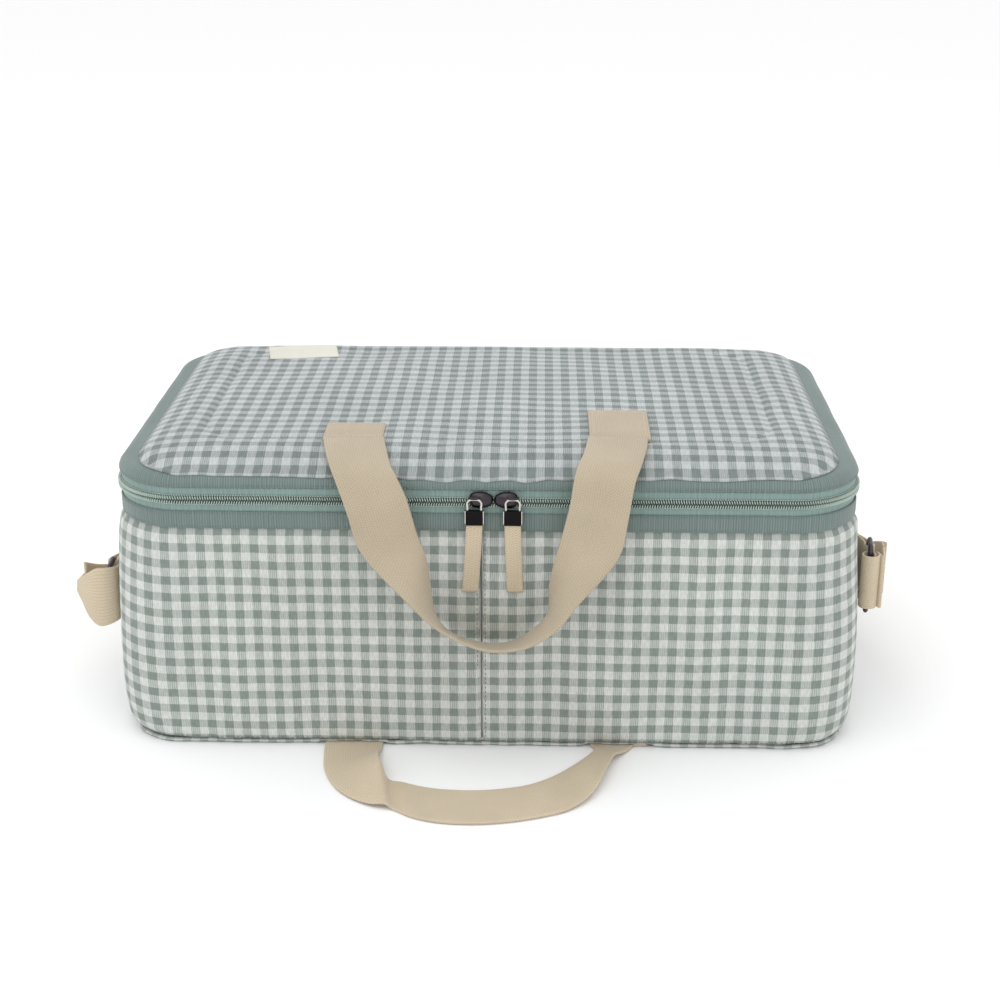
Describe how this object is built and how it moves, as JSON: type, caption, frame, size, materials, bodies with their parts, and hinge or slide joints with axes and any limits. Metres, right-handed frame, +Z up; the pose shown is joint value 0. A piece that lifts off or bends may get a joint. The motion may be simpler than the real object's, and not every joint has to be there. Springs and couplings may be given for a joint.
{
  "type": "insulated cooler bag",
  "caption": "Soft insulated cooler bag with a hinged zip-round lid, webbing carrying handles on lid and base, and a shoulder strap on side rings.",
  "frame": {"origin": "middle of the base, on the surface that the bag stands on", "axes": "+X along the width to the right of the front, +Y from the front to the hinged back, +Z up to the lid"},
  "size_m": [0.5377, 0.4717, 0.2027],
  "materials": {
    "gingham_fabric": "woven cotton gingham, sage grey and off-white, matt",
    "sage_ribbon": "ribbed grosgrain ribbon, matt with a slight sheen",
    "zip_tape": "woven polyester tape, matt",
    "zip_coil": "nylon coil, satin",
    "slider_metal": "dark polished gunmetal",
    "clamp_black": "gloss black enamel over pressed metal",
    "webbing": "beige herringbone cotton webbing",
    "foam": null,
    "lining": "silvery-white waterproof lining film",
    "base_board": "stiff plastic board",
    "binding": "off-white binding tape",
    "label_cloth": "cream woven label, blank",
    "ring_metal": "dark polished gunmetal"
  },
  "bodies": {
    "bag": {"wall_left": "gingham_fabric", "wall_right": "gingham_fabric", "base_panel": "gingham_fabric", "base_hem": "gingham_fabric", "wall_foam": "foam", "base_board": "base_board", "base_foam": "foam", "liner": "lining", "liner_binding": "binding", "lower_band": "sage_ribbon", "zip_tape_lower": "zip_tape", "zip_coil_lower": "zip_coil", "hinge_strip_lower": "sage_ribbon", "zip_end_stops": "slider_metal", "base_handle_ends": "webbing", "side_tab_left": "webbing", "side_tab_right": "webbing", "strap_ring_left": "ring_metal", "strap_ring_right": "ring_metal", "strap_end_left": "webbing", "strap_end_right": "webbing"},
    "lid": {"lid_panel": "gingham_fabric", "lid_foam": "foam", "lid_liner": "lining", "lid_binding": "binding", "upper_band": "sage_ribbon", "zip_tape_upper": "zip_tape", "zip_coil_upper": "zip_coil", "hinge_strip_upper": "sage_ribbon", "label": "label_cloth", "lid_handle_ends": "webbing"},
    "lid_handle": {"lid_handle": "webbing"},
    "base_handle": {"base_handle": "webbing"},
    "shoulder_strap": {"shoulder_strap": "webbing", "strap_return": "webbing", "strap_adjuster": "ring_metal"},
    "slider_left": {"slider_left": "slider_metal"},
    "pull_left": {"pull_bail_left": "slider_metal", "pull_clamp_left": "clamp_black", "pull_tab_left": "webbing"},
    "slider_right": {"slider_right": "slider_metal"},
    "pull_right": {"pull_bail_right": "slider_metal", "pull_clamp_right": "clamp_black", "pull_tab_right": "webbing"}
  },
  "joints": [
    {"name": "lid_hinge", "type": "hinge", "parent": "bag", "child": "lid", "pos_m": [0, 0.141, 0.172], "axis": [-1, 0, 0], "range_deg": [0, 180]},
    {"name": "lid_handle_swing", "type": "hinge", "parent": "lid", "child": "lid_handle", "pos_m": [0, -0.1517, 0.1877], "axis": [-1, 0, 0], "range_deg": [0, 90]},
    {"name": "base_handle_swing", "type": "hinge", "parent": "bag", "child": "base_handle", "pos_m": [0, -0.1433, 0.001], "axis": [-1, 0, 0], "range_deg": [0, 55]},
    {"name": "shoulder_strap_swing", "type": "hinge", "parent": "bag", "child": "shoulder_strap", "pos_m": [0, -0.092, 0.095], "axis": [1, 0, 0], "range_deg": [0, 170]},
    {"name": "slider_left_travel", "type": "slide", "parent": "bag", "child": "slider_left", "axis": [-1, 0, 0], "range_m": [0, 0.155]},
    {"name": "slider_right_travel", "type": "slide", "parent": "bag", "child": "slider_right", "axis": [1, 0, 0], "range_m": [0, 0.15]},
    {"name": "pull_left_swing", "type": "hinge", "parent": "slider_left", "child": "pull_left", "pos_m": [-0.0065, -0.1449, 0.1725], "axis": [-1, 0, 0], "range_deg": [0, 100]},
    {"name": "pull_right_swing", "type": "hinge", "parent": "slider_right", "child": "pull_right", "pos_m": [0.0172, -0.1449, 0.1725], "axis": [-1, 0, 0], "range_deg": [0, 100]}
  ]
}
